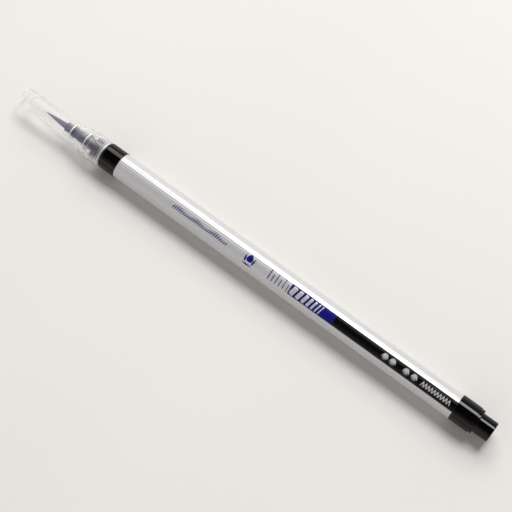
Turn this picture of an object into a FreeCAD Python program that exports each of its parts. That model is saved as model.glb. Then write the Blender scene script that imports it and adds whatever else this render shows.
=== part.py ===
"""Slim round brush pen with a clear stepped cap, lying on its side.

Units are millimetres. +X runs along the pen from the brush end to the tail, +Z is up, and
the pen rests on z = 0. The origin is the bottom centre of the whole pen with its cap on.
"""

import FreeCAD
import Part
import os

# ---- driving dimensions -------------------------------------------------------------
# lengths along the pen, from the cap's closed end to the tail
CAP_LENGTH = 31.4
FRONT_RING_LENGTH = 6.2
BARREL_LENGTH = 122.4
TAIL_RING_LENGTH = 6.5
TAIL_FLANGE_LENGTH = 1.05
TAIL_POST_LENGTH = 4.95

# radii of what shows from outside
BARREL_RADIUS = 4.0
RING_RADIUS = 4.18
RING_FRONT_FILLET = 0.9
TRIM_FILLET = 0.08
EDGE_FILLET = 0.12
TAIL_FLANGE_RADIUS = 3.97
TAIL_POST_RADIUS = 3.18
CAP_NARROW_RADIUS = 3.1
CAP_NARROW_RADIUS_AT_SHOULDER = 3.18

# fits
PRESS_GAP = 0.02
SLIDE_GAP = 0.1
END_GAP = 0.05
CUT_PAST = 1.0
SAME = 1e-4

# barrel and the pieces inside it
BARREL_BORE = 3.45
SPIGOT_LENGTH = 7.4
RESERVOIR_RADIUS = 3.15
WRAP_THICKNESS = 0.12
WRAP_GAP = 0.01
RESERVOIR_LENGTH = 100.0
RESERVOIR_STANDOFF = 0.4
STOP_LENGTH = 5.8
STOP_HUB_RADIUS = 1.1
STOP_PLATE_RADIUS = 2.6
STOP_PLATE = 0.8
STOP_FINS = 4
STOP_FIN_WIDTH = 0.7
STOP_FIN_RADIUS = 3.3

# nib holder, from its mouth back to the front ring
TUFT_EXPOSED = 8.2
NOSE_LENGTH = 2.4
NOSE_SPIGOT = 1.2
CONE_LENGTH = 5.4
LAND_LENGTH = 1.65
NECK_LENGTH = 1.4
SEAT_LENGTH = 3.95
SEAT_WALL = 0.3
NOSE_RADIUS_FRONT = 1.58
NOSE_RADIUS_REAR = 1.74
CONE_RADIUS_FRONT = 1.89
CONE_RADIUS_REAR = 2.0
LAND_RADIUS = 2.45
NECK_RADIUS = 2.27
SEAT_RADIUS = 3.1
BEAD_RADIUS = 3.15
BEAD_SETBACK = 1.3
BEAD_RAMP = 0.2
BEAD_FLAT = 0.2
RING_LIP = 1.0
NOSE_FILLET = 0.35
CONE_FILLET = 0.1
LAND_FRONT_FILLET = 0.25
LAND_REAR_FILLET = 0.1
SEAT_FILLET = 0.3
SPIGOT_FILLET = 0.2

# tuft and feed
TUFT_RADIUS_MOUTH = 0.98
TUFT_RADIUS_AT_CONE = 1.15
TUFT_RADIUS_ROOT = 1.25
TUFT_ROOT_LENGTH = 0.8
TUFT_POWER = 0.75
TUFT_STATIONS = (0.0, 0.12, 0.35, 0.65, 1.0)
TUFT_BORE = 1.3
NOSE_BORE = 1.04
NOSE_BORE_WIDE = 1.26
NOSE_BORE_REAR = 1.28
NOSE_BORE_SETBACK = 0.3
NOSE_SPIGOT_RADIUS = 1.5
COLLAR_RADIUS = 1.5
COLLAR_LENGTH = 1.0
COLLAR_SETBACK = 3.05
COLLAR_POCKET = 0.35
COLLAR_POCKET_RADIUS = 1.2
COLLAR_FILLET = 0.2
RETAINER_RADIUS = 2.72
RETAINER_FLARE = 0.22
RETAINER_FLARE_LENGTH = 1.2
RETAINER_STEP_FILLET = 0.1
RETAINER_REAR_FILLET = 0.15
WICK_RADIUS = 0.95
WICK_POINT_RADIUS = 0.7
WICK_END_RADIUS = 0.45
WICK_POINT_LENGTH = 1.0
WICK_TAPER_LENGTH = 1.2
WICK_END_TAPER = 0.6
WICK_BORE = 1.0
WICK_IN_COLLAR = 0.6
WICK_IN_RESERVOIR = 6.0
SLEEVE_RADIUS = 2.8
SLEEVE_BORE_IN_HOLDER = 2.85
SLEEVE_SHOWS = 1.0
SLEEVE_FLANGE_RADIUS = 3.35
SLEEVE_FLANGE = 1.0
SLEEVE_FILLET = 0.3
AIR_GROOVES = 3
AIR_GROOVE_WIDTH = 0.5
AIR_GROOVE_DEPTH = 0.45

# cap
CAP_MOUTH_LENGTH = 7.2
CAP_SHOULDER_LENGTH = 1.4
CAP_CAVITY_RADIUS = 2.35
CAP_CAVITY_TAPER = 0.1
CAP_CAVITY_FILLET = 1.1
CAP_END_WALL = 3.0
SEAL_AHEAD = 0.5
SEAL_RAMP = 0.3
SEAL_PAST = 0.15
MOUTH_BORE_AHEAD = 0.35
CAP_END_FILLET = 0.35
SHOULDER_FOOT_FILLET = 0.5
SHOULDER_TOP_FILLET = 0.6
MOUTH_CHAMFER = 0.2
MOUTH_CHAMFER_LENGTH = 0.3

# tail plug
PLUG_BORE = 2.5
PLUG_END_WALL = 1.1
PLUG_FILLET = 0.25
POST_FILLET = 0.22

# ---- places along the pen -------------------------------------------------------------
OVERALL = (
    CAP_LENGTH + FRONT_RING_LENGTH + BARREL_LENGTH
    + TAIL_RING_LENGTH + TAIL_FLANGE_LENGTH + TAIL_POST_LENGTH
)
X_CAP_END = -OVERALL / 2
X_RING = X_CAP_END + CAP_LENGTH
X_BARREL = X_RING + FRONT_RING_LENGTH
X_TAIL_RING = X_BARREL + BARREL_LENGTH
X_FLANGE = X_TAIL_RING + TAIL_RING_LENGTH
X_POST = X_FLANGE + TAIL_FLANGE_LENGTH
X_TAIL = X_POST + TAIL_POST_LENGTH

X_SEAT = X_RING - SEAT_LENGTH
X_NECK = X_SEAT - NECK_LENGTH
X_LAND = X_NECK - LAND_LENGTH
X_CONE = X_LAND - CONE_LENGTH
X_MOUTH = X_CONE - NOSE_LENGTH
X_TUFT_TIP = X_MOUTH - TUFT_EXPOSED

X_BEAD = X_SEAT + BEAD_SETBACK
X_LIP = X_RING + RING_LIP
X_COLLAR = X_CONE + COLLAR_SETBACK
X_RETAINER = X_COLLAR + COLLAR_LENGTH
X_RETAINER_WIDE = X_SEAT + SEAT_WALL + END_GAP
X_SLEEVE = X_RING - SLEEVE_SHOWS
X_RETAINER_REAR = X_SLEEVE - 2 * END_GAP
X_HOLDER_REAR = X_BARREL + SPIGOT_LENGTH
X_RESERVOIR = X_HOLDER_REAR + SLEEVE_FLANGE + RESERVOIR_STANDOFF
X_RESERVOIR_REAR = X_RESERVOIR + RESERVOIR_LENGTH
X_WICK_REAR = X_RESERVOIR + WICK_IN_RESERVOIR
X_PLUG_FRONT = X_RESERVOIR_REAR + STOP_LENGTH + 2 * END_GAP

X_SHOULDER = X_RING - CAP_MOUTH_LENGTH - CAP_SHOULDER_LENGTH
X_CAVITY = X_CAP_END + CAP_END_WALL

AXIS_HEIGHT = RING_RADIUS
AXIS_POINT = FreeCAD.Vector(0, 0, AXIS_HEIGHT)
AXIS = FreeCAD.Vector(1, 0, 0)


# ---- helpers --------------------------------------------------------------------------
def on_pen(x, radius):
    """The point of a turned profile at place x along the pen and that radius from its axis."""
    return FreeCAD.Vector(x, 0, AXIS_HEIGHT + radius)


def revolve(edges):
    """A solid turned about the pen's axis from the closed outline that edges make."""
    face = Part.Face(Part.Wire(edges))
    solid = face.revolve(AXIS_POINT, AXIS, 360)
    if solid.Volume < 0:
        solid.reverse()
    return solid


def turned(*profile):
    """A solid turned from a closed outline of (x, radius) corners."""
    corners = [on_pen(x, radius) for x, radius in profile]
    corners.append(corners[0])
    return revolve(Part.makePolygon(corners).Edges)


def band(x, foot, top, flat):
    """Corners of a raised band that starts at x: up a ramp, along a flat and down again."""
    return (
        (x, foot),
        (x + BEAD_RAMP, top),
        (x + BEAD_RAMP + flat, top),
        (x + 2 * BEAD_RAMP + flat, foot),
    )


def rings_at(solid, x, radius):
    """The circular edges of solid at place x with that radius."""
    return [
        edge for edge in solid.Edges
        if isinstance(edge.Curve, Part.Circle)
        and abs(edge.Curve.Radius - radius) < SAME
        and abs(edge.Curve.Center.x - x) < SAME
    ]


def rounded(solid, *rounds):
    """solid with the circular edge at each (x, radius, fillet) rounded off."""
    for x, radius, fillet in rounds:
        solid = solid.makeFillet(fillet, rings_at(solid, x, radius))
    return solid


def bar(x_start, x_end, width, bottom, top):
    """A box along the pen, centred on its vertical middle plane, from bottom to top radius."""
    corner = FreeCAD.Vector(x_start, -width / 2, AXIS_HEIGHT + bottom)
    return Part.makeBox(x_end - x_start, width, top - bottom, corner)


def around(shape, count):
    """count copies of shape, evenly turned about the pen's axis."""
    copies = []
    for step in range(count):
        copy = shape.copy()
        copy.rotate(AXIS_POINT, AXIS, 360.0 * step / count)
        copies.append(copy)
    return copies


# ---- cap --------------------------------------------------------------------------------
def cap_shell():
    """Clear cap: narrow closed end, shoulder, and a wider mouth flush with the front ring."""
    mouth_bore = SEAT_RADIUS + SLIDE_GAP
    seal_bore = LAND_RADIUS + SLIDE_GAP
    x_wide = X_SHOULDER + CAP_SHOULDER_LENGTH
    outer = turned(
        (X_CAP_END, 0),
        (X_CAP_END, CAP_NARROW_RADIUS),
        (X_SHOULDER, CAP_NARROW_RADIUS_AT_SHOULDER),
        (x_wide, RING_RADIUS),
        (X_RING, RING_RADIUS),
        (X_RING, 0),
    )
    outer = rounded(
        outer,
        (X_CAP_END, CAP_NARROW_RADIUS, CAP_END_FILLET),
        (X_SHOULDER, CAP_NARROW_RADIUS_AT_SHOULDER, SHOULDER_FOOT_FILLET),
        (x_wide, RING_RADIUS, SHOULDER_TOP_FILLET),
        (X_RING, RING_RADIUS, EDGE_FILLET),
    )
    end_radius = CAP_CAVITY_RADIUS - CAP_CAVITY_TAPER
    cavity = turned(
        (X_CAVITY, 0),
        (X_CAVITY, end_radius),
        (X_LAND - SEAL_AHEAD, CAP_CAVITY_RADIUS),
        (X_LAND - SEAL_AHEAD + SEAL_RAMP, seal_bore),
        (X_NECK + SEAL_PAST, seal_bore),
        (X_SEAT - MOUTH_BORE_AHEAD, mouth_bore),
        *band(X_BEAD - SLIDE_GAP, mouth_bore, mouth_bore + SLIDE_GAP, BEAD_FLAT + 2 * SLIDE_GAP),
        (X_RING - MOUTH_CHAMFER_LENGTH, mouth_bore),
        (X_RING, mouth_bore + MOUTH_CHAMFER),
        (X_RING + CUT_PAST, mouth_bore + MOUTH_CHAMFER),
        (X_RING + CUT_PAST, 0),
    )
    cavity = rounded(cavity, (X_CAVITY, end_radius, CAP_CAVITY_FILLET))
    return outer.cut(cavity)


# ---- brush and its holder ---------------------------------------------------------------
def brush_tuft():
    """Soft bristle bundle: a pointed cone outside the mouth, swelling to its root inside."""
    exposed = []
    for share in TUFT_STATIONS:
        radius = TUFT_RADIUS_MOUTH * share ** TUFT_POWER
        exposed.append(on_pen(X_TUFT_TIP + share * TUFT_EXPOSED, radius))
    inside = [
        on_pen(X_CONE, TUFT_RADIUS_AT_CONE),
        on_pen(X_COLLAR - TUFT_ROOT_LENGTH, TUFT_RADIUS_ROOT),
    ]
    flank = Part.BSplineCurve()
    flank.interpolate(exposed + inside)
    root_rim = on_pen(X_COLLAR, TUFT_RADIUS_ROOT)
    root_centre = on_pen(X_COLLAR, 0)
    return revolve([
        flank.toShape(),
        Part.makeLine(inside[-1], root_rim),
        Part.makeLine(root_rim, root_centre),
        Part.makeLine(root_centre, exposed[0]),
    ])


def tuft_collar():
    """Fused collar at the bristles' root, which stops the tuft from pulling out."""
    body = turned(
        (X_COLLAR, 0),
        (X_COLLAR, COLLAR_RADIUS),
        (X_RETAINER, COLLAR_RADIUS),
        (X_RETAINER, 0),
    )
    pocket = turned(
        (X_COLLAR + COLLAR_POCKET, 0),
        (X_RETAINER + CUT_PAST, COLLAR_POCKET_RADIUS),
        (X_RETAINER + CUT_PAST, 0),
    )
    return rounded(body, (X_COLLAR, COLLAR_RADIUS, COLLAR_FILLET)).cut(pocket)


def tuft_retainer():
    """Stepped pipe pressed in behind the collar; the wick passes through it."""
    pipe = turned(
        (X_RETAINER, WICK_BORE + RETAINER_FLARE),
        (X_RETAINER, COLLAR_RADIUS),
        (X_RETAINER_WIDE, COLLAR_RADIUS),
        (X_RETAINER_WIDE, RETAINER_RADIUS),
        (X_RETAINER_REAR, RETAINER_RADIUS),
        (X_RETAINER_REAR, WICK_BORE),
        (X_RETAINER + RETAINER_FLARE_LENGTH, WICK_BORE),
    )
    return rounded(
        pipe,
        (X_RETAINER_WIDE, RETAINER_RADIUS, RETAINER_STEP_FILLET),
        (X_RETAINER_REAR, RETAINER_RADIUS, RETAINER_REAR_FILLET),
    )


def nose_sleeve():
    """Clear mouthpiece that gathers the bristles; its spigot sits in the holder."""
    x_rear = X_CONE + NOSE_SPIGOT
    body = turned(
        (X_MOUTH, NOSE_BORE),
        (X_MOUTH, NOSE_RADIUS_FRONT),
        (X_CONE, NOSE_RADIUS_REAR),
        (X_CONE, NOSE_SPIGOT_RADIUS),
        (x_rear, NOSE_SPIGOT_RADIUS),
        (x_rear, NOSE_BORE_REAR),
        (X_CONE - NOSE_BORE_SETBACK, NOSE_BORE_WIDE),
    )
    return rounded(
        body,
        (X_MOUTH, NOSE_RADIUS_FRONT, NOSE_FILLET),
        (X_CONE, NOSE_RADIUS_REAR, TRIM_FILLET),
    )


def nib_holder():
    """Clear holder: cone, sealing land, cap seat with a bead, and a spigot in the barrel."""
    spigot_radius = BARREL_BORE - PRESS_GAP
    nose_socket = NOSE_SPIGOT_RADIUS + PRESS_GAP
    x_socket = X_CONE + NOSE_SPIGOT + END_GAP
    outer = turned(
        (X_CONE, 0),
        (X_CONE, CONE_RADIUS_FRONT),
        (X_LAND, CONE_RADIUS_REAR),
        (X_LAND, LAND_RADIUS),
        (X_NECK, LAND_RADIUS),
        (X_NECK, NECK_RADIUS),
        (X_SEAT, NECK_RADIUS),
        (X_SEAT, SEAT_RADIUS),
        *band(X_BEAD, SEAT_RADIUS, BEAD_RADIUS, BEAD_FLAT),
        (X_LIP, SEAT_RADIUS),
        (X_LIP, spigot_radius),
        (X_HOLDER_REAR, spigot_radius),
        (X_HOLDER_REAR, 0),
    )
    outer = rounded(
        outer,
        (X_CONE, CONE_RADIUS_FRONT, CONE_FILLET),
        (X_LAND, LAND_RADIUS, LAND_FRONT_FILLET),
        (X_NECK, LAND_RADIUS, LAND_REAR_FILLET),
        (X_SEAT, SEAT_RADIUS, SEAT_FILLET),
        (X_HOLDER_REAR, spigot_radius, SPIGOT_FILLET),
    )
    bore = turned(
        (X_CONE - CUT_PAST, 0),
        (X_CONE - CUT_PAST, nose_socket),
        (x_socket, nose_socket),
        (x_socket, TUFT_BORE),
        (X_COLLAR - PRESS_GAP, TUFT_BORE),
        (X_COLLAR - PRESS_GAP, COLLAR_RADIUS + PRESS_GAP),
        (X_RETAINER_WIDE - END_GAP, COLLAR_RADIUS + PRESS_GAP),
        (X_RETAINER_WIDE - END_GAP, RETAINER_RADIUS + PRESS_GAP),
        (X_SLEEVE - END_GAP, RETAINER_RADIUS + PRESS_GAP),
        (X_SLEEVE - END_GAP, SLEEVE_BORE_IN_HOLDER),
        (X_HOLDER_REAR + CUT_PAST, SLEEVE_BORE_IN_HOLDER),
        (X_HOLDER_REAR + CUT_PAST, 0),
    )
    return outer.cut(bore)


def relay_wick():
    """Fibre rod that carries ink from the reservoir to the bristles' root."""
    x_point = X_COLLAR + WICK_IN_COLLAR
    x_taper = x_point + WICK_POINT_LENGTH
    return turned(
        (x_point, 0),
        (x_taper, WICK_POINT_RADIUS),
        (x_taper + WICK_TAPER_LENGTH, WICK_RADIUS),
        (X_WICK_REAR - WICK_END_TAPER, WICK_RADIUS),
        (X_WICK_REAR, WICK_END_RADIUS),
        (X_WICK_REAR, 0),
    )


def wick_sleeve():
    """Guide for the wick inside the holder, with air grooves and a flange behind."""
    body = turned(
        (X_SLEEVE, WICK_BORE),
        (X_SLEEVE, SLEEVE_RADIUS),
        (X_HOLDER_REAR + END_GAP, SLEEVE_RADIUS),
        (X_HOLDER_REAR + END_GAP, SLEEVE_FLANGE_RADIUS),
        (X_HOLDER_REAR + SLEEVE_FLANGE, SLEEVE_FLANGE_RADIUS),
        (X_HOLDER_REAR + SLEEVE_FLANGE, WICK_BORE),
    )
    body = rounded(body, (X_SLEEVE, SLEEVE_RADIUS, SLEEVE_FILLET))
    groove = bar(
        X_SLEEVE - CUT_PAST,
        X_HOLDER_REAR + SLEEVE_FLANGE + CUT_PAST,
        AIR_GROOVE_WIDTH,
        SLEEVE_RADIUS - AIR_GROOVE_DEPTH,
        SLEEVE_FLANGE_RADIUS + CUT_PAST,
    )
    for copy in around(groove, AIR_GROOVES):
        body = body.cut(copy)
    return body


# ---- barrel and ink ---------------------------------------------------------------------
def front_ring():
    """Black trim ring between cap and barrel, with a lip that keeps the holder in."""
    sleeve = turned(
        (X_RING, SEAT_RADIUS + PRESS_GAP),
        (X_RING, RING_RADIUS),
        (X_BARREL, RING_RADIUS),
        (X_BARREL, BARREL_BORE),
        (X_LIP, BARREL_BORE),
        (X_LIP, SEAT_RADIUS + PRESS_GAP),
    )
    return rounded(
        sleeve,
        (X_RING, RING_RADIUS, RING_FRONT_FILLET),
        (X_BARREL, RING_RADIUS, TRIM_FILLET),
    )


def barrel_tube():
    """Straight silver tube."""
    return turned(
        (X_BARREL, BARREL_BORE),
        (X_BARREL, BARREL_RADIUS),
        (X_TAIL_RING, BARREL_RADIUS),
        (X_TAIL_RING, BARREL_BORE),
    )


def reservoir_fibre():
    """Rod of bundled fibre that holds the ink, pierced by the wick at its front end."""
    rod = turned(
        (X_RESERVOIR, 0),
        (X_RESERVOIR, RESERVOIR_RADIUS),
        (X_RESERVOIR_REAR, RESERVOIR_RADIUS),
        (X_RESERVOIR_REAR, 0),
    )
    pocket = turned(
        (X_RESERVOIR - CUT_PAST, 0),
        (X_RESERVOIR - CUT_PAST, WICK_RADIUS + PRESS_GAP),
        (X_WICK_REAR + END_GAP, WICK_RADIUS + PRESS_GAP),
        (X_WICK_REAR + END_GAP, 0),
    )
    return rod.cut(pocket)


def reservoir_wrap():
    """Thin film sheath around the reservoir."""
    inner = RESERVOIR_RADIUS + WRAP_GAP
    outer = inner + WRAP_THICKNESS
    return turned(
        (X_RESERVOIR, inner),
        (X_RESERVOIR, outer),
        (X_RESERVOIR_REAR, outer),
        (X_RESERVOIR_REAR, inner),
    )


def reservoir_stop():
    """Moulded spacer that keeps the reservoir forward: a hub, four fins and a front plate."""
    x_front = X_RESERVOIR_REAR + END_GAP
    x_rear = X_RESERVOIR_REAR + STOP_LENGTH
    x_plate = x_front + STOP_PLATE
    stop = turned(
        (x_front, 0),
        (x_front, STOP_PLATE_RADIUS),
        (x_plate, STOP_PLATE_RADIUS),
        (x_plate, STOP_HUB_RADIUS),
        (x_rear, STOP_HUB_RADIUS),
        (x_rear, 0),
    )
    fin = bar(x_front, x_rear, STOP_FIN_WIDTH, STOP_HUB_RADIUS / 2, STOP_FIN_RADIUS)
    for copy in around(fin, STOP_FINS):
        stop = stop.fuse(copy)
    return stop.removeSplitter()


# ---- tail -------------------------------------------------------------------------------
def tail_ring():
    """Black trim ring between barrel and tail plug."""
    sleeve = turned(
        (X_TAIL_RING, BARREL_BORE),
        (X_TAIL_RING, RING_RADIUS),
        (X_FLANGE, RING_RADIUS),
        (X_FLANGE, BARREL_BORE),
    )
    return rounded(
        sleeve,
        (X_TAIL_RING, RING_RADIUS, TRIM_FILLET),
        (X_FLANGE, RING_RADIUS, EDGE_FILLET),
    )


def tail_plug():
    """Black plug: spigot in the barrel, flange, and the post that the cap fits on."""
    spigot_radius = BARREL_BORE - PRESS_GAP
    body = turned(
        (X_PLUG_FRONT, 0),
        (X_PLUG_FRONT, spigot_radius),
        (X_FLANGE, spigot_radius),
        (X_FLANGE, TAIL_FLANGE_RADIUS),
        (X_POST, TAIL_FLANGE_RADIUS),
        (X_POST, TAIL_POST_RADIUS),
        (X_TAIL, TAIL_POST_RADIUS),
        (X_TAIL, 0),
    )
    body = rounded(
        body,
        (X_PLUG_FRONT, spigot_radius, PLUG_FILLET),
        (X_POST, TAIL_FLANGE_RADIUS, PLUG_FILLET),
        (X_TAIL, TAIL_POST_RADIUS, POST_FILLET),
    )
    bore = turned(
        (X_PLUG_FRONT - CUT_PAST, 0),
        (X_PLUG_FRONT - CUT_PAST, PLUG_BORE),
        (X_TAIL - PLUG_END_WALL, PLUG_BORE),
        (X_TAIL - PLUG_END_WALL, 0),
    )
    return body.cut(bore)


PIECES = (
    cap_shell,
    brush_tuft,
    tuft_collar,
    tuft_retainer,
    nose_sleeve,
    nib_holder,
    relay_wick,
    wick_sleeve,
    front_ring,
    barrel_tube,
    reservoir_fibre,
    reservoir_wrap,
    reservoir_stop,
    tail_ring,
    tail_plug,
)


def main():
    os.makedirs("parts", exist_ok=True)
    for build in PIECES:
        shape = build()
        name = build.__name__
        if not shape.isValid() or not shape.Solids:
            raise RuntimeError(name + " is not a valid solid")
        shape.exportStep("parts/" + name + ".step")
        box = shape.BoundBox
        print(
            "%-16s solids %d  volume %9.3f mm3  x %8.3f to %8.3f  z %6.3f to %6.3f"
            % (name, len(shape.Solids), shape.Volume, box.XMin, box.XMax, box.ZMin, box.ZMax)
        )
    print("overall length %.2f mm, diameter %.2f mm" % (OVERALL, 2 * RING_RADIUS))


main()
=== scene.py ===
"""The looks of a slim brush pen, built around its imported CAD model.

Everything is in metres in the model's own frame: +X runs from the cap to the tail along the
pen, and +Z is up. Sizes written here in millimetres are multiplied by MM where they are used.
"""

import math
import random

import bmesh
import bpy
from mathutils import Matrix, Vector


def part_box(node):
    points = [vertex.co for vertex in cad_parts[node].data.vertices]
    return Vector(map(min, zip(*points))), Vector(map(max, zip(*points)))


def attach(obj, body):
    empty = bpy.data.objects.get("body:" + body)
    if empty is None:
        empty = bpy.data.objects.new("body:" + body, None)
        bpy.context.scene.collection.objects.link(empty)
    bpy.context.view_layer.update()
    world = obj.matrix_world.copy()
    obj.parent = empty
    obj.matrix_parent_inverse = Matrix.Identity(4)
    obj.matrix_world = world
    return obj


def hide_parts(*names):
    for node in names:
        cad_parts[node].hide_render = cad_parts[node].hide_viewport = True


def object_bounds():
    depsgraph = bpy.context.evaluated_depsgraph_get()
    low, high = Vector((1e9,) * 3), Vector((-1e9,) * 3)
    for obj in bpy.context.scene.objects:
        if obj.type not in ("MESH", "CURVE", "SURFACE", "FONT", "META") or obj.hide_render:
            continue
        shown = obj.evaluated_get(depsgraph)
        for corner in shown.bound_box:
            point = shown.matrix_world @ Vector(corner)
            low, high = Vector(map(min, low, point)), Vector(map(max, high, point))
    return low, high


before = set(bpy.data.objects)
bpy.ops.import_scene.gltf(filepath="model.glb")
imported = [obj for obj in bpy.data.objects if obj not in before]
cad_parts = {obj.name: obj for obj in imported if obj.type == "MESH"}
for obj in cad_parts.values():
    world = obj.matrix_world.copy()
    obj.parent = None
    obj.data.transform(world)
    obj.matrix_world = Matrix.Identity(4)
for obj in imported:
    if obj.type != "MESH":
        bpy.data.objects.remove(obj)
cad_low, cad_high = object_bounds()

MM = 0.001
AXIS = (cad_low.z + cad_high.z) / 2 / MM


# ---- places and sizes from the frame ----------------------------------------------------
def span(node):
    """Where a node starts and ends along the pen, and its largest radius, in millimetres."""
    low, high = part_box(node)
    return low.x / MM, high.x / MM, high.z / MM - AXIS


CAP_END, CAP_MOUTH, CAP_RADIUS = span("cap_shell")
NOSE_MOUTH, NOSE_REAR, _ = span("nose_sleeve")
HOLDER_FRONT, HOLDER_REAR, SPIGOT_RADIUS = span("nib_holder")
TUFT_TIP, TUFT_ROOT, TUFT_RADIUS = span("brush_tuft")
RING_FRONT, BARREL_FRONT, RING_RADIUS = span("front_ring")
SLEEVE_FRONT, _, _ = span("wick_sleeve")
_, _, RETAINER_RADIUS = span("tuft_retainer")
TAIL_RING_FRONT, TAIL_RING_REAR, _ = span("tail_ring")
PLUG_FRONT, TAIL_END, FLANGE_RADIUS = span("tail_plug")

# ---- the other sizes, in millimetres ----------------------------------------------------
# steps of the cap and the holder, measured from the front ring
CAP_SHOULDER = RING_FRONT - 8.6
CAP_WIDE = RING_FRONT - 7.2
LAND = RING_FRONT - 7.0
NECK = RING_FRONT - 5.35
SEAT = RING_FRONT - 3.95
BEAD = SEAT + 1.3
LIP = RING_FRONT + 1.0

# fits and the trim's small fillets
PRESS_GAP = 0.02
SLIDE_GAP = 0.1
END_GAP = 0.05
FACE_GAP = 0.01
TRIM_FILLET = 0.08
EDGE_FILLET = 0.12

# cap
CAP_END_WALL = 3.0
CAP_END_FILLET = 0.35
CAP_NARROW_RADIUS = 3.1
CAP_NARROW_RADIUS_AT_SHOULDER = 3.18
CAP_CAVITY_RADIUS = 2.35
CAP_CAVITY_TAPER = 0.1
CAP_CAVITY_FILLET = 1.1
CAP_MOUTH_GAP = 0.015
SHOULDER_FOOT_FILLET = 0.5
SHOULDER_TOP_FILLET = 0.6
MOUTH_CHAMFER = 0.2
MOUTH_CHAMFER_LENGTH = 0.3
MOUTH_BORE_AHEAD = 0.35
SEAL_AHEAD = 0.5
SEAL_RAMP = 0.3
SEAL_PAST = 0.15

# bristles, with bores that nip them a little so that no gap shows
TUFT_RADIUS_MOUTH = 0.98
TUFT_POWER = 0.75
TUFT_CORE_SHARE = 0.93
TUFT_BORE = TUFT_RADIUS - 0.04
FILAMENTS = 170
FILAMENTS_START_WITHIN = 7.5

# mouthpiece
NOSE_BORE = 1.04
NOSE_THROAT = 0.96
NOSE_BORE_REAR = TUFT_RADIUS - 0.06
NOSE_BORE_LENGTH = 0.3
NOSE_BORE_FILLET = 0.05
NOSE_RADIUS_FRONT = 1.58
NOSE_RADIUS_REAR = 1.74
NOSE_FILLET = 0.35
NOSE_SPIGOT_RADIUS = 1.5

# holder
CONE_RADIUS_FRONT = 1.89
CONE_RADIUS_REAR = 2.0
CONE_FILLET = 0.1
LAND_RADIUS = 2.45
LAND_FRONT_FILLET = 0.25
LAND_REAR_FILLET = 0.1
NECK_RADIUS = 2.27
SEAT_RADIUS = 3.1
SEAT_WALL = 0.3
SEAT_FILLET = 0.3
BEAD_RISE = 0.05
BEAD_RAMP = 0.2
SPIGOT_FILLET = 0.2
SLEEVE_BORE = 2.85
RIM_THICKNESS = 0.06
RIM_FILLET = 0.02

# barrel and its trim
BARREL_RADIUS = 4.0
BARREL_BORE = 3.45
BARREL_CHAMFER_LENGTH = 0.06
BARREL_CHAMFER = 0.15
BARREL_END_LENGTH = 0.5
FLUTES = 36
FLUTE_DEPTH = 0.035
STEPS_PER_FLUTE = 8
FLUTE_STEP = 360 / (FLUTES * STEPS_PER_FLUTE)
RING_FRONT_FILLET = 0.9

# tail
FLANGE_LENGTH = 1.05
POST_RADIUS = 3.18
POST_FILLET = 0.22
PLUG_BORE = 2.5
PLUG_END_WALL = 1.1
PLUG_FILLET = 0.25
DIMPLE_RADIUS = 0.9
DIMPLE_BEVEL = 0.15
DIMPLE_DEPTH = 0.12

# print, with its middle and half its height in degrees round the barrel
PRINT_CENTRE = -19.6
PRINT_HALF = 24.7
PRINT_LIFT = 0.008
MARK_LIFT = 0.016
PRINT_CELL = 0.07
STROKE_TIP = 0.004
BLUE_FRONT = 15.5
BLACK_FRONT = 31.35
MM_PER_DEGREE = math.pi * BARREL_RADIUS / 180

# facets round a turned piece
ROUND = 144


# ---- mesh helpers -----------------------------------------------------------------------
def on_pen(x, radius, angle):
    """A point at place x, that far from the axis, angle degrees from the top towards +Y."""
    turn = math.radians(angle)
    return Vector((x, radius * math.sin(turn), AXIS + radius * math.cos(turn))) * MM


def add_piece(name, bm, material, body):
    """Makes a piece from bm, which rides on body and has the given material."""
    bmesh.ops.recalc_face_normals(bm, faces=bm.faces)
    mesh = bpy.data.meshes.new(name)
    bm.to_mesh(mesh)
    bm.free()
    mesh.materials.append(material)
    mesh.shade_smooth()
    mesh.set_sharp_from_angle(angle=math.radians(32))
    piece = bpy.data.objects.new(name, mesh)
    bpy.context.scene.collection.objects.link(piece)
    weights = piece.modifiers.new("even_normals", "WEIGHTED_NORMAL")
    weights.keep_sharp = True
    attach(piece, body)
    return piece


def rounded(corners, steps=6):
    """The points of an outline of (x, radius, fillet) corners, with each fillet as an arc."""
    points = []
    for index, (x, radius, fillet) in enumerate(corners):
        here = Vector((x, radius))
        if not fillet:
            points.append(here)
            continue
        before = Vector(corners[index - 1][:2]) - here
        after = Vector(corners[(index + 1) % len(corners)][:2]) - here
        half = before.angle(after) / 2
        reach = fillet / math.tan(half)
        centre = here + (before.normalized() + after.normalized()).normalized() * (
            fillet / math.sin(half)
        )
        start = here + before.normalized() * reach - centre
        end = here + after.normalized() * reach - centre
        sweep = start.angle_signed(end)
        for step in range(steps + 1):
            turned_by = -sweep * step / steps
            cos, sin = math.cos(turned_by), math.sin(turned_by)
            points.append(centre + Vector((
                start.x * cos - start.y * sin,
                start.x * sin + start.y * cos,
            )))
    return points


def lathe(corners, count=ROUND, steps=6):
    """A mesh turned about the pen's axis from a closed outline of (x, radius, fillet)."""
    bm = bmesh.new()
    rows = []
    for point in rounded(corners, steps):
        if math.isclose(point.y, 0, abs_tol=1e-6):
            rows.append([bm.verts.new(on_pen(point.x, 0, 0))])
            continue
        rows.append([
            bm.verts.new(on_pen(point.x, point.y, 360 * n / count)) for n in range(count)
        ])
    for row, following in zip(rows, rows[1:] + rows[:1]):
        join_rows(bm, row, following)
    return bm


def join_rows(bm, row, following):
    """Faces between two rings of points, either of which may be a single point."""
    if len(row) == 1 and len(following) == 1:
        return
    count = max(len(row), len(following))
    for n in range(count):
        corners = [
            row[n % len(row)],
            row[(n + 1) % len(row)],
            following[(n + 1) % len(following)],
            following[n % len(following)],
        ]
        unique = list(dict.fromkeys(corners))
        bm.faces.new(unique)


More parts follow.
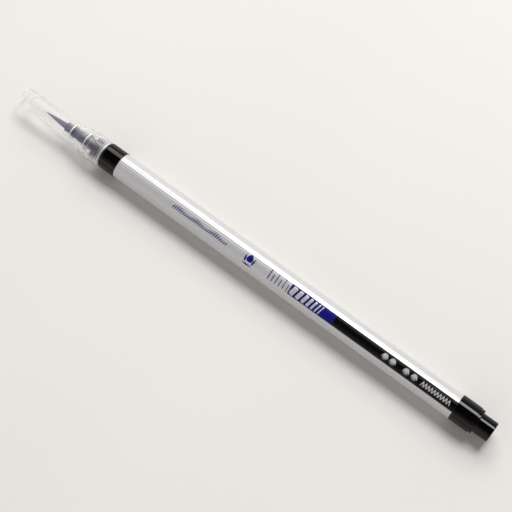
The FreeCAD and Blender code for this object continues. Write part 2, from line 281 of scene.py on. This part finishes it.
# ---- material helpers -------------------------------------------------------------------
def new_material(name, **values):
    """A material with one Principled shader, its plain values set on its own sockets."""
    material = bpy.data.materials.new(name)
    material.use_nodes = True
    shader = material.node_tree.nodes["Principled BSDF"]
    for socket, value in values.items():
        shader.inputs[socket.replace("_", " ")].default_value = value
    return material, material.node_tree, shader


def axes(tree, space="Object"):
    """X, Y and Z of the surface's place on the piece, or of a direction in the sky."""
    place = tree.nodes.new("ShaderNodeTexCoord")
    split = tree.nodes.new("ShaderNodeSeparateXYZ")
    tree.links.new(place.outputs[space], split.inputs[0])
    return split.outputs


def position(tree, stretch):
    """The surface's place on the piece, scaled along X, Y and Z."""
    place = tree.nodes.new("ShaderNodeTexCoord")
    scale = tree.nodes.new("ShaderNodeVectorMath")
    scale.operation = "MULTIPLY"
    scale.inputs[1].default_value = stretch
    tree.links.new(place.outputs["Object"], scale.inputs[0])
    return scale.outputs[0]


def noise(tree, stretch, detail=3.0, roughness=0.6):
    """Noise in object space, finer where stretch is larger."""
    texture = tree.nodes.new("ShaderNodeTexNoise")
    texture.inputs["Scale"].default_value = 1.0
    texture.inputs["Detail"].default_value = detail
    texture.inputs["Roughness"].default_value = roughness
    tree.links.new(position(tree, stretch), texture.inputs["Vector"])
    return texture.outputs["Fac"]


def between(tree, source, first, last, start=0.3, end=0.7):
    """A value that goes from first to last as source goes from start to end."""
    ramp = tree.nodes.new("ShaderNodeMapRange")
    ramp.inputs["From Min"].default_value = start
    ramp.inputs["From Max"].default_value = end
    ramp.inputs["To Min"].default_value = first
    ramp.inputs["To Max"].default_value = last
    tree.links.new(source, ramp.inputs["Value"])
    return ramp.outputs["Result"]


def combine(tree, operation, first, second):
    """The result of a Math node on a socket and a socket or a number."""
    node = tree.nodes.new("ShaderNodeMath")
    node.operation = operation
    tree.links.new(first, node.inputs[0])
    if isinstance(second, (int, float)):
        node.inputs[1].default_value = second
    else:
        tree.links.new(second, node.inputs[1])
    return node.outputs[0]


def blend_colours(tree, source, first, second, start=0.3, end=0.7):
    """A colour that goes from first to second as source goes from start to end."""
    ramp = tree.nodes.new("ShaderNodeValToRGB")
    ramp.color_ramp.elements[0].position = start
    ramp.color_ramp.elements[0].color = (*first, 1)
    ramp.color_ramp.elements[1].position = end
    ramp.color_ramp.elements[1].color = (*second, 1)
    tree.links.new(source, ramp.inputs["Fac"])
    return ramp.outputs["Color"]


def bump(tree, shader, source, depth, strength=1.0):
    """Raises the surface by up to depth millimetres where source is high."""
    node = tree.nodes.new("ShaderNodeBump")
    node.inputs["Strength"].default_value = strength
    node.inputs["Distance"].default_value = depth * MM
    tree.links.new(source, node.inputs["Height"])
    tree.links.new(node.outputs["Normal"], shader.inputs["Normal"])


def lets_light_through(material, shadow, edge, ray="Is Shadow Ray"):
    """Lets light pass a clear or milky material, dimmed once at each surface.

    shadow is what a surface lets through head on, and edge what it does where light grazes it,
    most of all from 2 mm up to 6.5 mm above what the pen lies on, because a clear rod bends
    that light down beside itself. ray is the kind of light: a lamp's own, or what the
    surroundings send.
    """
    tree = material.node_tree
    path = tree.nodes.new("ShaderNodeLightPath")
    graze = tree.nodes.new("ShaderNodeLayerWeight")
    graze.inputs["Blend"].default_value = 0.5
    see_through = tree.nodes.new("ShaderNodeBsdfTransparent")
    bent = between(tree, axes(tree)["Z"], 0.3, 1.6, start=2 * MM, end=6.5 * MM)
    grazing = combine(tree, "MULTIPLY", graze.outputs["Facing"], bent)
    passed = blend_colours(tree, grazing, shadow, edge, start=0.25, end=0.95)
    tree.links.new(passed, see_through.inputs["Color"])
    output = tree.nodes["Material Output"].inputs["Surface"]
    surface = output.links[0].from_socket
    mix = tree.nodes.new("ShaderNodeMixShader")
    tree.links.new(path.outputs[ray], mix.inputs[0])
    tree.links.new(surface, mix.inputs[1])
    tree.links.new(see_through.outputs[0], mix.inputs[2])
    tree.links.new(mix.outputs[0], output)


# ---- materials --------------------------------------------------------------------------
def clear_plastic(name, tint, shadow, edge, rough, ior, **values):
    """Clear moulded plastic, hazy from handling, with faint flow ripples."""
    material, tree, shader = new_material(
        name, Transmission_Weight=1.0, IOR=ior, Base_Color=(*tint, 1), **values
    )
    haze = noise(tree, (350, 350, 350))
    tree.links.new(between(tree, haze, rough * 0.7, rough * 1.3), shader.inputs["Roughness"])
    ripple = noise(tree, (120, 400, 400), detail=1.0)
    bump(tree, shader, ripple, 0.002)
    lets_light_through(material, shadow, edge)
    lets_light_through(material, (0.99, 0.99, 0.99), (0.9, 0.9, 0.9), "Is Diffuse Ray")
    return material


def gloss_black():
    """Deep black glossy plastic that shows a little red-brown where light grazes it."""
    material, tree, shader = new_material(
        "gloss_black", IOR=1.3, Sheen_Weight=0.2, Sheen_Roughness=0.3, Sheen_Tint=(1, 0.4, 0.44, 1)
    )
    cloud = noise(tree, (500, 500, 500))
    colour = blend_colours(tree, cloud, (0.0006, 0.0004, 0.0006), (0.0016, 0.001, 0.0014))
    tree.links.new(colour, shader.inputs["Base Color"])
    scuffs = noise(tree, (900, 2600, 2600), detail=4.0)
    tree.links.new(between(tree, scuffs, 0.02, 0.05), shader.inputs["Roughness"])
    return material


def painted_groove_shade(tree):
    """Painted shade for the flutes: 1 on the barrel's ridges and 0.62 along the bottom of each
    groove.
    """
    place = axes(tree)
    height = combine(tree, "SUBTRACT", place["Z"], AXIS * MM)
    angle = combine(tree, "ARCTAN2", place["Y"], height)
    wave = combine(tree, "COSINE", combine(tree, "MULTIPLY", angle, FLUTES), 0)
    return between(tree, wave, 1.0, 0.62, start=0.2, end=0.95)


def satin_silver():
    """Silver lacquer on a drawn tube: fine lengthwise streaks in its sheen and colour, and a
    painted shade along the bottom of each flute.
    """
    material, tree, shader = new_material("satin_silver", Metallic=0.2, IOR=1.3)
    streaks = noise(tree, (18, 5200, 5200), detail=4.0)
    # shade is the streaks' random tone times a painted shade that darkens the bottom of each flute
    shade = combine(tree, "MULTIPLY", between(tree, streaks, 0.92, 1.0), painted_groove_shade(tree))
    dark, light = (0.45, 0.45, 0.47), (0.665, 0.663, 0.665)
    colour = blend_colours(tree, shade, dark, light, start=0.7, end=1.0)
    tree.links.new(colour, shader.inputs["Base Color"])
    grain = noise(tree, (40, 9000, 9000), detail=2.0)
    tree.links.new(between(tree, grain, 0.22, 0.32), shader.inputs["Roughness"])
    bump(tree, shader, streaks, 0.006, strength=0.5)
    return material


def ink(name, dark, light, rough, **values):
    """Printed ink, slightly uneven, over the flutes."""
    material, tree, shader = new_material(name, IOR=1.33, **values)
    patches = noise(tree, (2200, 2600, 2600), detail=4.0)
    tree.links.new(blend_colours(tree, patches, dark, light), shader.inputs["Base Color"])
    tree.links.new(between(tree, patches, rough, rough + 0.12), shader.inputs["Roughness"])
    return material


def bristle(name, dark, light):
    """Nylon filament with ink on it, paler and darker from hair to hair."""
    material, tree, shader = new_material(name, IOR=1.5, Coat_Weight=0.2, Coat_Roughness=0.3)
    hairs = noise(tree, (160, 9000, 9000), detail=2.0)
    tree.links.new(blend_colours(tree, hairs, dark, light), shader.inputs["Base Color"])
    tree.links.new(between(tree, hairs, 0.38, 0.55), shader.inputs["Roughness"])
    return material


def moulding(name, dark, light):
    """Plain moulded plastic inside the pen, with faint mottling."""
    material, tree, shader = new_material(name, IOR=1.46)
    mottle = noise(tree, (700, 900, 900))
    tree.links.new(blend_colours(tree, mottle, dark, light), shader.inputs["Base Color"])
    tree.links.new(between(tree, mottle, 0.35, 0.5), shader.inputs["Roughness"])
    return material


def fibre(name, dark, light):
    """Bundled fibre rod: long strands, dark and rough with ink."""
    material, tree, shader = new_material(name, Sheen_Weight=0.2)
    strands = noise(tree, (60, 7000, 7000), detail=5.0)
    tree.links.new(blend_colours(tree, strands, dark, light), shader.inputs["Base Color"])
    tree.links.new(between(tree, strands, 0.7, 0.95), shader.inputs["Roughness"])
    bump(tree, shader, strands, 0.05)
    return material


CAP_PLASTIC = clear_plastic(
    "cap_plastic", tint=(0.99, 0.987, 0.98), shadow=(1.0, 0.997, 0.995),
    edge=(0.04, 0.035, 0.03), rough=0.15, ior=1.14, Alpha=0.4, Specular_IOR_Level=0.3,
)
HOLDER_PLASTIC = clear_plastic(
    "holder_plastic", tint=(0.68, 0.68, 0.725), shadow=(0.95, 0.95, 0.955),
    edge=(0.6, 0.6, 0.61), rough=0.2, ior=1.18, Specular_IOR_Level=0.08,
)
GLOSS_BLACK = gloss_black()
SATIN_SILVER = satin_silver()
BLUE_INK = ink(
    "blue_ink", (0.004, 0.006, 0.125), (0.009, 0.013, 0.21), 0.3, Specular_IOR_Level=0.2
)
BLACK_INK = ink("black_ink", (0.0008, 0.0008, 0.001), (0.002, 0.002, 0.0025), 0.14)
SILVER_INK = ink("silver_ink", (0.50, 0.50, 0.49), (0.66, 0.66, 0.64), 0.35, Metallic=0.3)
DAMP_BRISTLE = bristle("damp_bristle", (0.16, 0.165, 0.225), (0.29, 0.3, 0.375))
lets_light_through(DAMP_BRISTLE, (0.96, 0.96, 0.965), (0.88, 0.88, 0.885))
INKED_PLASTIC = moulding("inked_plastic", (0.19, 0.19, 0.22), (0.29, 0.29, 0.315))
lets_light_through(INKED_PLASTIC, (0.96, 0.96, 0.965), (0.85, 0.85, 0.86))
WHITE_PLASTIC = moulding("white_moulding", (0.72, 0.72, 0.71), (0.8, 0.8, 0.79))
# near-white rims whose colour is a painted highlight, standing in for the bright edges of the
# clear mouldings
PAINTED_EDGE_HIGHLIGHT = moulding("painted_edge_highlight", (0.82, 0.82, 0.81), (0.9, 0.9, 0.89))
lets_light_through(PAINTED_EDGE_HIGHLIGHT, (0.95, 0.95, 0.95), (0.9, 0.9, 0.9))
WICK_FIBRE = fibre("wick_fibre", (0.02, 0.02, 0.035), (0.06, 0.06, 0.09))
RESERVOIR_FIBRE = fibre("reservoir_fibre", (0.015, 0.015, 0.03), (0.04, 0.04, 0.06))
FILM = clear_plastic(
    "wrap_film", tint=(0.95, 0.95, 0.95), shadow=(0.9, 0.9, 0.9), edge=(0.7, 0.7, 0.7),
    rough=0.1, ior=1.5,
)


# ---- cap --------------------------------------------------------------------------------
def cap():
    """The clear cap, whose mouth stops just short of the front ring."""
    mouth = CAP_MOUTH - CAP_MOUTH_GAP
    mouth_bore = SEAT_RADIUS + SLIDE_GAP
    seal_bore = LAND_RADIUS + SLIDE_GAP
    cavity_end = CAP_END + CAP_END_WALL
    outline = (
        (CAP_END, 0, 0),
        (CAP_END, CAP_NARROW_RADIUS, CAP_END_FILLET),
        (CAP_SHOULDER, CAP_NARROW_RADIUS_AT_SHOULDER, SHOULDER_FOOT_FILLET),
        (CAP_WIDE, CAP_RADIUS, SHOULDER_TOP_FILLET),
        (mouth, CAP_RADIUS, EDGE_FILLET),
        (mouth, mouth_bore + MOUTH_CHAMFER, 0),
        (mouth - MOUTH_CHAMFER_LENGTH, mouth_bore, 0),
        (SEAT - MOUTH_BORE_AHEAD, mouth_bore, 0),
        (NECK + SEAL_PAST, seal_bore, 0),
        (LAND - SEAL_AHEAD + SEAL_RAMP, seal_bore, 0),
        (LAND - SEAL_AHEAD, CAP_CAVITY_RADIUS, 0),
        (cavity_end, CAP_CAVITY_RADIUS - CAP_CAVITY_TAPER, CAP_CAVITY_FILLET),
        (cavity_end, 0, 0),
    )
    piece = add_piece("clear_cap", lathe(outline), CAP_PLASTIC, "cap")
    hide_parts("cap_shell")


# ---- brush and holder -------------------------------------------------------------------
def tuft_profile(x):
    """The tuft's radius at place x: a slender cone that swells slightly to its root."""
    if x < NOSE_MOUTH:
        share = max(0.0, (x - TUFT_TIP) / (NOSE_MOUTH - TUFT_TIP))
        return TUFT_RADIUS_MOUTH * share ** TUFT_POWER
    share = min(1.0, (x - NOSE_MOUTH) / (HOLDER_FRONT - NOSE_MOUTH))
    return TUFT_RADIUS_MOUTH + (TUFT_RADIUS - TUFT_RADIUS_MOUTH) * share


def brush():
    """A core and a skin of separate tapered filaments that meet in a point."""
    count = 36
    stations = [TUFT_TIP + (TUFT_ROOT - TUFT_TIP) * (n / count) ** 1.3 for n in range(count + 1)]
    outline = [(TUFT_ROOT, 0, 0), (TUFT_TIP, 0, 0)]
    outline += [(x, tuft_profile(x) * TUFT_CORE_SHARE, 0) for x in stations[1:]]
    bm = lathe(outline, count=48)
    hair = random.Random(7)
    for number in range(FILAMENTS):
        angle = 360 * number / FILAMENTS + hair.uniform(-0.8, 0.8)
        thickness = hair.uniform(0.035, 0.055)
        start = TUFT_TIP + FILAMENTS_START_WITHIN * hair.random() ** 2.2
        lean = hair.uniform(-4, 4)
        add_filament(bm, angle, thickness, start, lean)
    piece = add_piece("bristle_bundle", bm, DAMP_BRISTLE, "pen")
    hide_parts("brush_tuft")


def add_filament(bm, angle, thickness, start, lean):
    """One tapered five-sided filament along the tuft's skin, from start to just short of its root.

    It leans aside by lean degrees at its tip, where it is a quarter as thick as at its root.
    """
    sides = 5
    count = 14
    end = TUFT_ROOT - 0.02
    rings = []
    for step in range(count + 1):
        share = step / count
        x = start + (end - start) * share
        thick = thickness * (0.25 + 0.75 * min(1.0, share * 3))
        radius = max(tuft_profile(x) - thick, 0.0)
        turn = angle + lean * (1 - share) ** 2
        centre = on_pen(x, radius, turn)
        ring = []
        for side in range(sides):
            around = math.tau * side / sides
            offset = Vector((0, math.cos(around), math.sin(around))) * thick * MM
            ring.append(bm.verts.new(centre + offset))
        rings.append(ring)
    for ring, following in zip(rings, rings[1:]):
        join_rows(bm, ring, following)
    bm.faces.new(rings[0])
    bm.faces.new(rings[-1])


def nose():
    """The clear mouthpiece, with its spigot in the holder."""
    shoulder = HOLDER_FRONT - FACE_GAP
    outline = (
        (NOSE_MOUTH, NOSE_BORE, NOSE_BORE_FILLET),
        (NOSE_MOUTH, NOSE_RADIUS_FRONT, NOSE_FILLET),
        (shoulder, NOSE_RADIUS_REAR, TRIM_FILLET),
        (shoulder, NOSE_SPIGOT_RADIUS, 0),
        (NOSE_REAR, NOSE_SPIGOT_RADIUS, 0),
        (NOSE_REAR, TUFT_BORE, 0),
        (HOLDER_FRONT - NOSE_BORE_LENGTH, NOSE_BORE_REAR, 0),
        (NOSE_MOUTH + NOSE_BORE_LENGTH, NOSE_THROAT, 0),
    )
    piece = add_piece("nose", lathe(outline), HOLDER_PLASTIC, "pen")
    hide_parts("nose_sleeve")


def holder():
    """The clear holder: cone, sealing land, neck, cap seat with its bead, and spigot."""
    socket_radius = NOSE_SPIGOT_RADIUS + PRESS_GAP
    retainer_bore = RETAINER_RADIUS + PRESS_GAP
    outline = (
        (HOLDER_FRONT, socket_radius, 0),
        (HOLDER_FRONT, CONE_RADIUS_FRONT, CONE_FILLET),
        (LAND, CONE_RADIUS_REAR, 0),
        (LAND, LAND_RADIUS, LAND_FRONT_FILLET),
        (NECK, LAND_RADIUS, LAND_REAR_FILLET),
        (NECK, NECK_RADIUS, 0),
        (SEAT, NECK_RADIUS, 0),
        (SEAT, SEAT_RADIUS, SEAT_FILLET),
        (BEAD, SEAT_RADIUS, 0),
        (BEAD + BEAD_RAMP, SEAT_RADIUS + BEAD_RISE, 0),
        (BEAD + 2 * BEAD_RAMP, SEAT_RADIUS + BEAD_RISE, 0),
        (BEAD + 3 * BEAD_RAMP, SEAT_RADIUS, 0),
        (LIP, SEAT_RADIUS, 0),
        (LIP, SPIGOT_RADIUS, 0),
        (HOLDER_REAR, SPIGOT_RADIUS, SPIGOT_FILLET),
        (HOLDER_REAR, SLEEVE_BORE, 0),
        (SLEEVE_FRONT - END_GAP, SLEEVE_BORE, 0),
        (SLEEVE_FRONT - END_GAP, retainer_bore, 0),
        (SEAT + SEAT_WALL, retainer_bore, 0),
        (SEAT + SEAT_WALL, socket_radius, 0),
        (TUFT_ROOT, socket_radius, 0),
        (TUFT_ROOT, TUFT_BORE, 0),
        (NOSE_REAR + END_GAP, TUFT_BORE, 0),
        (NOSE_REAR + END_GAP, socket_radius, 0),
    )
    piece = add_piece("holder", lathe(outline), HOLDER_PLASTIC, "pen")
    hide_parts("nib_holder")


def rims():
    """Thin white rims at the real steps and joints of the clear mouldings, coloured as painted
    highlights for the bright edges seen there.
    """
    places = (
        ("mouthpiece_rim", HOLDER_FRONT - 0.1, 0.42, CONE_RADIUS_FRONT + 0.03),
        ("land_rim", LAND + 0.04, 0.36, LAND_RADIUS + 0.03),
        ("neck_rim", NECK - 0.03, 0.05, LAND_RADIUS + 0.01),
        ("seat_groove_rim", RING_FRONT - 1.25, 0.14, SEAT_RADIUS + 0.01),
        ("seat_rim", RING_FRONT - 0.7, 0.3, SEAT_RADIUS + 0.05),
    )
    for name, front, width, radius in places:
        rear = front + width
        outline = (
            (front, radius - RIM_THICKNESS, 0),
            (front, radius, RIM_FILLET),
            (rear, radius, RIM_FILLET),
            (rear, radius - RIM_THICKNESS, 0),
        )
        add_piece(name, lathe(outline, steps=2), PAINTED_EDGE_HIGHLIGHT, "pen")


# ---- barrel -----------------------------------------------------------------------------
def fluted_radius(angle):
    """The barrel's outer radius: shallow round-bottomed flutes between narrow ridges."""
    phase = math.radians(angle) * FLUTES / 2
    return BARREL_RADIUS - FLUTE_DEPTH * abs(math.cos(phase))


def facet_radius(angle):
    """The barrel mesh's own radius at an angle, between its lengthwise edges too."""
    whole = math.floor(angle / FLUTE_STEP)
    share = angle / FLUTE_STEP - whole
    before = fluted_radius(whole * FLUTE_STEP)
    after = fluted_radius((whole + 1) * FLUTE_STEP)
    return before * (1 - share) + after * share


def barrel():
    """The fluted silver tube, with a small chamfer at each end."""
    angles = [FLUTE_STEP * n for n in range(FLUTES * STEPS_PER_FLUTE)]
    front = BARREL_FRONT
    rear = TAIL_RING_FRONT
    sections = (
        (front, BARREL_CHAMFER),
        (front + BARREL_CHAMFER_LENGTH, 0),
        (front + BARREL_END_LENGTH, 0),
        (rear - BARREL_END_LENGTH, 0),
        (rear - BARREL_CHAMFER_LENGTH, 0),
        (rear, BARREL_CHAMFER),
    )
    bm = bmesh.new()
    rows = []
    for x, inset in sections:
        rows.append([
            bm.verts.new(on_pen(x, fluted_radius(angle) - inset, angle)) for angle in angles
        ])
    for x in (rear, front):
        rows.append([bm.verts.new(on_pen(x, BARREL_BORE, angle)) for angle in angles])
    for row, following in zip(rows, rows[1:] + rows[:1]):
        join_rows(bm, row, following)
    piece = add_piece("fluted_barrel", bm, SATIN_SILVER, "pen")
    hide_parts("barrel_tube")


# ---- rings and tail ---------------------------------------------------------------------
def front_ring():
    """The black ring between cap and barrel, with the lip that keeps the holder in."""
    outline = (
        (RING_FRONT, SEAT_RADIUS + PRESS_GAP, 0),
        (RING_FRONT, RING_RADIUS, RING_FRONT_FILLET),
        (BARREL_FRONT, RING_RADIUS, TRIM_FILLET),
        (BARREL_FRONT, BARREL_BORE, 0),
        (LIP, BARREL_BORE, 0),
        (LIP, SEAT_RADIUS + PRESS_GAP, 0),
    )
    piece = add_piece("front_trim_ring", lathe(outline), GLOSS_BLACK, "pen")
    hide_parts("front_ring")


def tail_ring():
    """The black ring between barrel and tail plug."""
    outline = (
        (TAIL_RING_FRONT, BARREL_BORE, 0),
        (TAIL_RING_FRONT, RING_RADIUS, TRIM_FILLET),
        (TAIL_RING_REAR, RING_RADIUS, EDGE_FILLET),
        (TAIL_RING_REAR, BARREL_BORE, 0),
    )
    piece = add_piece("tail_trim_ring", lathe(outline), GLOSS_BLACK, "pen")
    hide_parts("tail_ring")


def tail_plug():
    """The black plug: flange, post with a shallow dimple in its end, and hollow spigot."""
    spigot_radius = BARREL_BORE - PRESS_GAP
    flange_rear = TAIL_RING_REAR + FLANGE_LENGTH
    outline = (
        (PLUG_FRONT, PLUG_BORE, 0),
        (PLUG_FRONT, spigot_radius, PLUG_FILLET),
        (TAIL_RING_REAR, spigot_radius, 0),
        (TAIL_RING_REAR + FACE_GAP, FLANGE_RADIUS, 0),
        (flange_rear, FLANGE_RADIUS, PLUG_FILLET),
        (flange_rear, POST_RADIUS, 0),
        (TAIL_END, POST_RADIUS, POST_FILLET),
        (TAIL_END, DIMPLE_RADIUS, 0),
        (TAIL_END - DIMPLE_DEPTH, DIMPLE_RADIUS - DIMPLE_BEVEL, 0),
        (TAIL_END - DIMPLE_DEPTH, 0, 0),
        (TAIL_END - PLUG_END_WALL, 0, 0),
        (TAIL_END - PLUG_END_WALL, PLUG_BORE, 0),
    )
    piece = add_piece("tail_end_plug", lathe(outline), GLOSS_BLACK, "pen")
    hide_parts("tail_plug")


# ---- print on the barrel ----------------------------------------------------------------
def print_grid(bm, cells, lift):
    """Faces over a grid of (x, angle) cells that follows the barrel's flutes."""
    grid = [
        [bm.verts.new(on_pen(x, facet_radius(angle) + lift, angle)) for x, angle in row]
        for row in cells
    ]
    for row, following in zip(grid, grid[1:]):
        for n in range(len(row) - 1):
            bm.faces.new((row[n], row[n + 1], following[n + 1], following[n]))


def panel(bm, x_start, x_end):
    """A printed rectangle from x_start to x_end, with an edge on each edge of the barrel's."""
    low = PRINT_CENTRE - PRINT_HALF
    high = PRINT_CENTRE + PRINT_HALF
    inner = range(math.ceil(low / FLUTE_STEP), math.floor(high / FLUTE_STEP) + 1)
    angles = [low] + [n * FLUTE_STEP for n in inner] + [high]
    places = (x_start, (x_start + x_end) / 2, x_end)
    print_grid(bm, [[(x, angle) for x in places] for angle in angles], PRINT_LIFT)


def stroke(bm, start, end, width, taper, lift=PRINT_LIFT):
    """A printed stroke between two (x, height) points in millimetres.

    Height is measured round the barrel from the middle of the print. taper(t) gives the
    stroke's width, as a share of width, at the share t of its length.
    """
    first, last = Vector(start), Vector(end)
    along = (last - first).normalized()
    side = Vector((-along.y, along.x))
    length = (last - first).length
    count = max(6, round(length / PRINT_CELL))
    across = max(2, round(width / PRINT_CELL))
    cells = []
    for n in range(count + 1):
        t = n / count
        half = max(width / 2 * taper(t), STROKE_TIP)
        middle = first.lerp(last, t)
        row = []
        for m in range(across + 1):
            point = middle + side * half * (2 * m / across - 1)
            row.append((point.x, PRINT_CENTRE + point.y / MM_PER_DEGREE))
        cells.append(row)
    print_grid(bm, cells, lift)


def even(t):
    """A stroke with short round ends."""
    return math.sqrt(1 - (2 * t - 1) ** 16)


def leaf(t):
    """A brush touch that swells and thins out."""
    return math.sin(math.pi * t ** 0.75)


def drop(t):
    """An ink drop, pointed at its start and round at its end."""
    return 2.6 * t * math.sqrt(1 - t)


def printed(name, material, draw):
    """A piece of thin printed faces on the barrel, which draw adds to an empty mesh."""
    bm = bmesh.new()
    draw(bm)
    add_piece(name, bm, material, "pen")


def fine_row(bm):
    """A row of small slanted brush touches that rise and fall like ripples."""
    foot = -0.95
    slant = 0.4
    for n in range(27):
        x = -27.2 + 0.75 * n
        tall = 1.45 + 0.45 * math.sin(n * math.tau / 9)
        stroke(bm, (x, foot), (x + slant, foot + tall), 0.4, leaf)


def drop_mark(bm):
    """An ink drop between two upright ripples, with a third one under it."""
    middle = 0.95
    stroke(bm, (middle, 1.75), (middle, -0.85), 2.1, drop)
    for side in (-1, 1):
        foot = (middle + side * 1.25, -1.35)
        stroke(bm, foot, (middle + side * 1.7, 1.2), 0.6, leaf)
    stroke(bm, (middle - 1.75, -1.85), (middle + 1.75, -1.85), 0.5, leaf)


def hairlines(bm):
    """Upright hairlines, tall and short in turn, each a little finer than the last."""
    for n in range(6):
        x = 8.3 + 1.3 * n
        top = 1.75 if n % 2 == 0 else 0.7
        stroke(bm, (x, -1.75), (x, top), 0.32 - 0.02 * n, even)


def blue_panel(bm):
    """The blue area of the print."""
    panel(bm, BLUE_FRONT, BLACK_FRONT)


def black_band(bm):
    """The black area of the print, which ends at the tail ring."""
    panel(bm, BLACK_FRONT, TAIL_RING_FRONT - PRESS_GAP)


def slanted_bars(bm):
    """Broad slanted brush strokes that grow narrower, in the front part of the blue panel."""
    x = BLUE_FRONT + 1.0
    for width in (1.5, 1.3, 1.1, 0.9, 0.7, 0.5, 0.35):
        stroke(bm, (x, -1.4), (x + 0.7, 1.4), width, even, MARK_LIFT)
        x += width + 0.62


def leaf_sprigs(bm):
    """Four small sprigs of fanned leaves on the black band."""
    top = 1.1
    leaves = ((-0.95, 1.5), (-0.5, 2.0), (0.0, 2.2), (0.5, 2.0), (0.95, 1.5))
    for x in (49.35, 52.0, 56.7, 59.5):
        for lean, length in leaves:
            start = (x + lean * 0.25, top)
            stroke(bm, start, (x + lean * 1.2, top - length), 0.42, leaf, MARK_LIFT)


def ripple_line(bm):
    """One long wavy line on the black band."""
    pitch = 0.5
    for n in range(20):
        x = 62.0 + n * pitch
        rise = 0.8 if n % 2 == 0 else -0.8
        stroke(bm, (x, -rise), (x + pitch, rise), 0.28, even, MARK_LIFT)


# ---- everything in its place ------------------------------------------------------------
cap()
brush()
nose()
holder()
rims()
barrel()
front_ring()
tail_ring()
tail_plug()
printed("fine_touches", BLUE_INK, fine_row)
printed("drop_symbol", BLUE_INK, drop_mark)
printed("hairline_marks", BLUE_INK, hairlines)
printed("blue_print", BLUE_INK, blue_panel)
printed("black_print", BLACK_INK, black_band)
printed("slanted_bars", SILVER_INK, slanted_bars)
printed("leaf_sprigs", SILVER_INK, leaf_sprigs)
printed("ripple_line", SILVER_INK, ripple_line)

CAD_FINISHES = {
    "tuft_collar": INKED_PLASTIC,
    "tuft_retainer": INKED_PLASTIC,
    "relay_wick": WICK_FIBRE,
    "wick_sleeve": WHITE_PLASTIC,
    "reservoir_fibre": RESERVOIR_FIBRE,
    "reservoir_wrap": FILM,
    "reservoir_stop": WHITE_PLASTIC,
}
for node, material in CAD_FINISHES.items():
    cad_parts[node].material_slots[0].material = material


# ---- floor, light and camera ------------------------------------------------------------
def direction(along, lean):
    """A unit vector from the pen: lean degrees from upright towards +Y, along towards +X."""
    a, e = math.radians(along), math.radians(lean)
    return Vector((math.sin(a), math.cos(a) * math.sin(e), math.cos(a) * math.cos(e)))


def floor():
    """A pale matt sheet, 6 m across."""
    bm = bmesh.new()
    bmesh.ops.create_grid(bm, x_segments=1, y_segments=1, size=3)
    mesh = bpy.data.meshes.new("floor")
    bm.to_mesh(mesh)
    bm.free()
    material, tree, shader = new_material("pale_paper", Roughness=0.7, Specular_IOR_Level=0.2)
    cloud = noise(tree, (6, 6, 6), detail=2.0)
    colour = blend_colours(tree, cloud, (0.80, 0.793, 0.773), (0.825, 0.818, 0.798))
    tree.links.new(colour, shader.inputs["Base Color"])
    mesh.materials.append(material)
    piece = bpy.data.objects.new("floor", mesh)
    bpy.context.scene.collection.objects.link(piece)


def area_light(name, towards, width, length, power, colour):
    """A rectangular lamp, in that direction from the pen, that shines on it."""
    distance = 1.5
    data = bpy.data.lights.new(name, "AREA")
    data.shape = "RECTANGLE"
    data.size = width
    data.size_y = length
    data.energy = power
    data.color = colour
    lamp = bpy.data.objects.new(name, data)
    lamp.location = towards * distance
    lamp.rotation_euler = towards.to_track_quat("Z", "Y").to_euler()
    bpy.context.scene.collection.objects.link(lamp)


def sky():
    """Soft light from all round, brightest low down, beyond the cap and on the -Y side."""
    world = bpy.data.worlds.new("studio")
    world.use_nodes = True
    tree = world.node_tree
    place = axes(tree, "Generated")
    upward = between(tree, place["Z"], 1.12, 0.05, start=0.0, end=0.8)
    along = between(tree, place["X"], 1.45, 0.65, start=-0.8, end=0.8)
    aside = between(tree, place["Y"], 1.3, 0.8, start=-0.8, end=0.8)
    strength = combine(tree, "MULTIPLY", combine(tree, "MULTIPLY", upward, along), aside)
    background = tree.nodes["Background"]
    background.inputs["Color"].default_value = (1.0, 0.962, 0.953, 1)
    tree.links.new(strength, background.inputs["Strength"])
    bpy.context.scene.world = world


def camera():
    """Seen from above and slightly in front, the cap at the upper left."""
    azimuth, elevation = math.radians(37.08), math.radians(72.0)
    distance = 0.4235
    back = Vector((
        math.sin(azimuth) * math.cos(elevation),
        -math.cos(azimuth) * math.cos(elevation),
        math.sin(elevation),
    ))
    right = Vector((math.cos(azimuth), math.sin(azimuth), 0))
    up = back.cross(right)
    beside_pen = up * 2.685 - right * 1.055
    aim = (Vector((3.55, 0, AXIS)) + beside_pen) * MM
    data = bpy.data.cameras.new("camera")
    data.lens = 101.25
    data.sensor_width = 36
    data.clip_start = 0.01
    view = bpy.data.objects.new("camera", data)
    view.location = aim + back * distance
    view.rotation_euler = back.to_track_quat("Z", "Y").to_euler()
    bpy.context.scene.collection.objects.link(view)
    bpy.context.scene.camera = view


floor()
sky()
area_light("window", direction(2, 34), 0.42, 0.57, power=11.7, colour=(1.0, 0.995, 0.975))
area_light("curtain", direction(-20, 46), 0.9, 0.8, power=11.7, colour=(1.0, 0.985, 0.965))
camera()
scene = bpy.context.scene
scene.view_settings.view_transform = "Standard"
scene.cycles.caustics_refractive = False
scene.cycles.caustics_reflective = True
scene.cycles.transparent_max_bounces = 32
